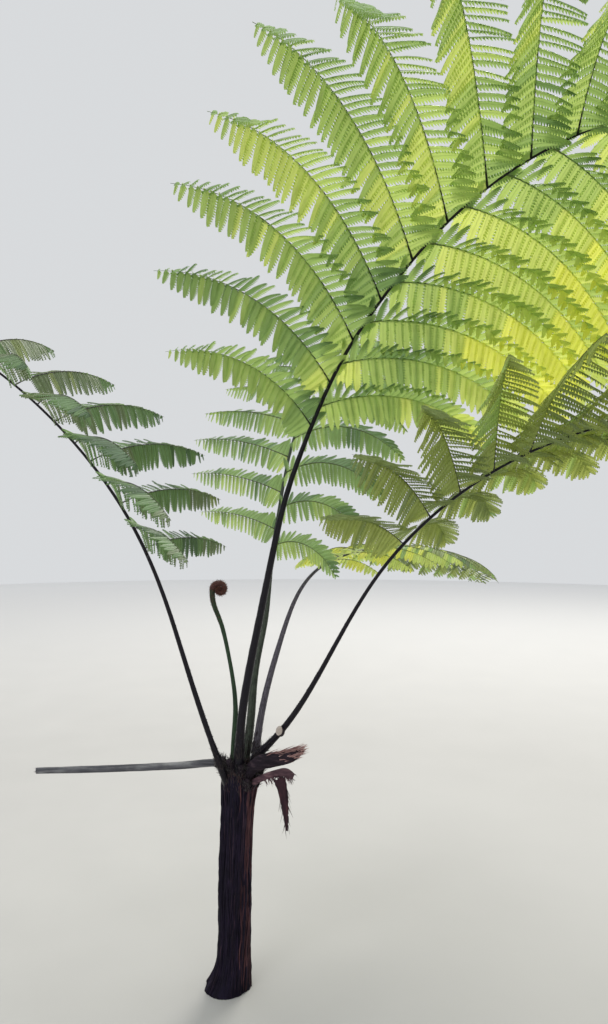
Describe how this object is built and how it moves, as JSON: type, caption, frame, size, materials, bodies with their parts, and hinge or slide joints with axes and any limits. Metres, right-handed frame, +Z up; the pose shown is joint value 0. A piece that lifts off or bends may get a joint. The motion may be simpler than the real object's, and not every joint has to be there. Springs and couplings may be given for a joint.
{
  "type": "tree fern",
  "caption": "Young tree fern with a short fibrous trunk, arching feathered fronds on long dark stalks, a coiled young frond and old leaf stubs round the crown.",
  "frame": {"origin": "centre of the level ground line under the trunk's foot, on the flat cut", "axes": "+Z up; +X towards the side with the tall leaning frond, which is the picture's right; +Y away from the camera"},
  "size_m": [3.1048, 2.0601, 2.3303],
  "materials": {
    "bark": "matt, fibrous",
    "stalk_dark": "half gloss",
    "stalk_green": "half gloss",
    "stalk_grey": "half gloss",
    "leaf_bright": "satin leaf",
    "leaf_dark": "satin leaf",
    "leaf_olive": "satin leaf",
    "leaf_green": "satin leaf",
    "leaf_yellow": "satin leaf",
    "young_scale": "scaly",
    "dead_wood": "dry, splintered",
    "dead_torn": "dry, torn",
    "dead_strip": "dry, papery",
    "dead_grey": "weathered"
  },
  "bodies": {
    "root": {"trunk": "bark", "frond_main_stalk": "stalk_dark", "frond_main_rachis_low": "stalk_dark", "frond_main_rachis_tip": "stalk_dark", "frond_main_blade_a_low": "leaf_bright", "frond_main_blade_a_mid": "leaf_bright", "frond_main_blade_a_tip": "leaf_bright", "frond_main_blade_b_low": "leaf_bright", "frond_main_blade_b_mid": "leaf_bright", "frond_main_blade_b_tip": "leaf_bright", "frond_left_stalk": "stalk_dark", "frond_left_rachis_low": "stalk_dark", "frond_left_rachis_tip": "stalk_dark", "frond_left_blade_a_low": "leaf_dark", "frond_left_blade_a_mid": "leaf_dark", "frond_left_blade_a_tip": "leaf_dark", "frond_left_blade_b_low": "leaf_dark", "frond_left_blade_b_mid": "leaf_dark", "frond_left_blade_b_tip": "leaf_dark", "frond_right_stalk": "stalk_dark", "frond_right_rachis_low": "stalk_dark", "frond_right_rachis_tip": "stalk_dark", "frond_right_blade_a_low": "leaf_olive", "frond_right_blade_a_mid": "leaf_olive", "frond_right_blade_a_tip": "leaf_olive", "frond_right_blade_b_low": "leaf_olive", "frond_right_blade_b_mid": "leaf_olive", "frond_right_blade_b_tip": "leaf_olive", "frond_back_stalk": "stalk_green", "frond_back_rachis_low": "stalk_green", "frond_back_rachis_tip": "stalk_green", "frond_back_blade_a_low": "leaf_green", "frond_back_blade_a_tip": "leaf_green", "frond_back_blade_b_low": "leaf_green", "frond_back_blade_b_tip": "leaf_green", "frond_side_stalk": "stalk_grey", "frond_side_rachis_low": "stalk_grey", "frond_side_rachis_tip": "stalk_grey", "frond_side_blade_a_low": "leaf_yellow", "frond_side_blade_a_tip": "leaf_yellow", "frond_side_blade_b_low": "leaf_yellow", "frond_side_blade_b_tip": "leaf_yellow", "young_frond_stalk": "stalk_green", "young_frond_coil": "young_scale", "old_leaf_base_right": "dead_wood", "old_leaf_flap_right": "dead_torn", "old_leaf_strip_right": "dead_strip", "old_leaf_stub_front": "dead_wood", "old_stalk_left": "dead_grey"}
  },
  "joints": []
}
